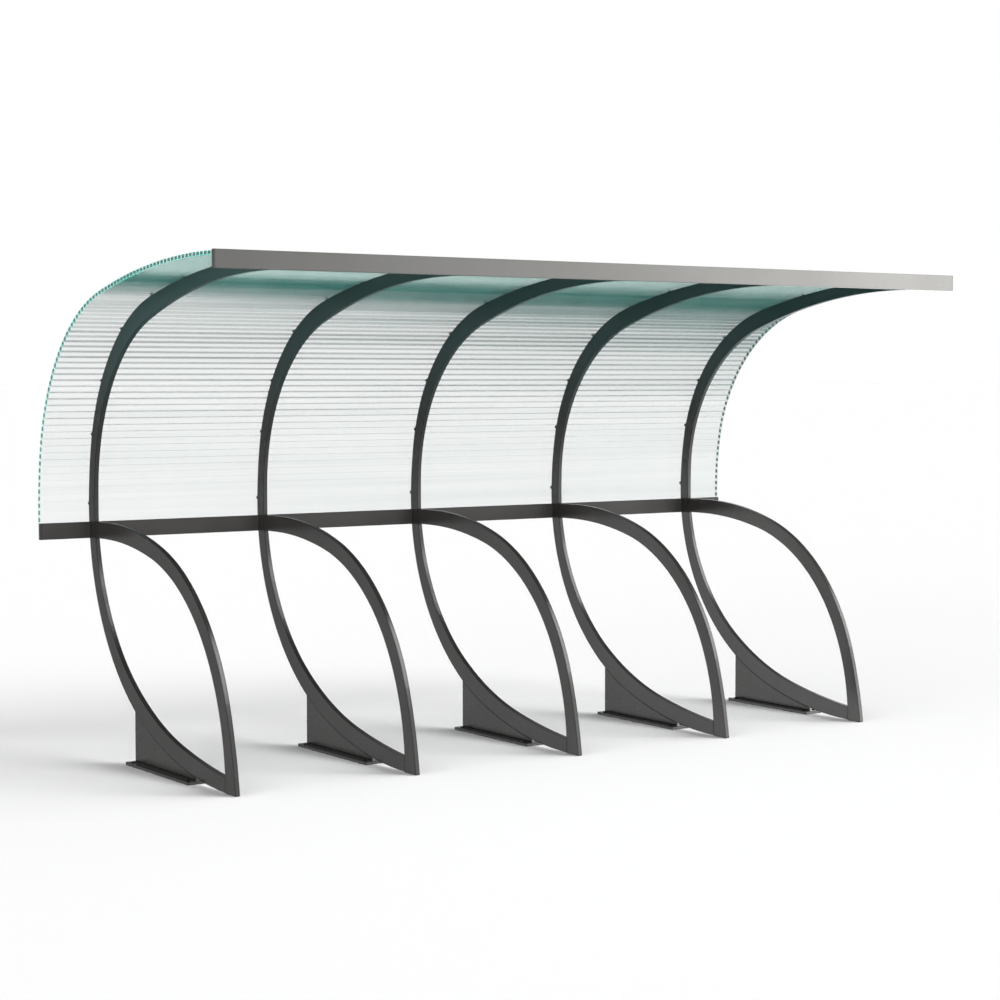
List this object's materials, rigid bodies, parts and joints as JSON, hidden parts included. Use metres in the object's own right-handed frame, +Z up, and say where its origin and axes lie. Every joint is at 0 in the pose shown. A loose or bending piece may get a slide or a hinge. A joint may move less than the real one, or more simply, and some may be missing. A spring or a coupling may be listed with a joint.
{
  "type": "bicycle shelter",
  "caption": "Open-fronted bicycle shelter: bent steel ribs on base plates carry a curved translucent multiwall roof, with a back rail and a fascia bar.",
  "frame": {"origin": "middle of the underside of the middle rib's base plate, on the ground", "axes": "+X along the shelter, +Y towards the back, with the open front towards -Y, +Z up"},
  "size_m": [3.912, 1.72, 2.153],
  "materials": {
    "dark_steel": "satin powder coat",
    "light_steel": "satin powder coat",
    "roof_sheet": "clear multiwall polycarbonate"
  },
  "bodies": {
    "root": {"back_rail": "dark_steel", "back_rail_cap_left": "dark_steel", "back_rail_cap_right": "dark_steel", "base_plate_1": "dark_steel", "base_plate_2": "dark_steel", "base_plate_3": "dark_steel", "base_plate_4": "dark_steel", "base_plate_5": "dark_steel", "front_fascia": "light_steel", "front_fascia_cap_left": "light_steel", "front_fascia_cap_right": "light_steel", "front_hoop_1": "dark_steel", "front_hoop_2": "dark_steel", "front_hoop_3": "dark_steel", "front_hoop_4": "dark_steel", "front_hoop_5": "dark_steel", "gusset_1": "dark_steel", "gusset_2": "dark_steel", "gusset_3": "dark_steel", "gusset_4": "dark_steel", "gusset_5": "dark_steel", "rear_post_1": "dark_steel", "rear_post_2": "dark_steel", "rear_post_3": "dark_steel", "rear_post_4": "dark_steel", "rear_post_5": "dark_steel", "roof_sheet": "roof_sheet"}
  },
  "joints": []
}
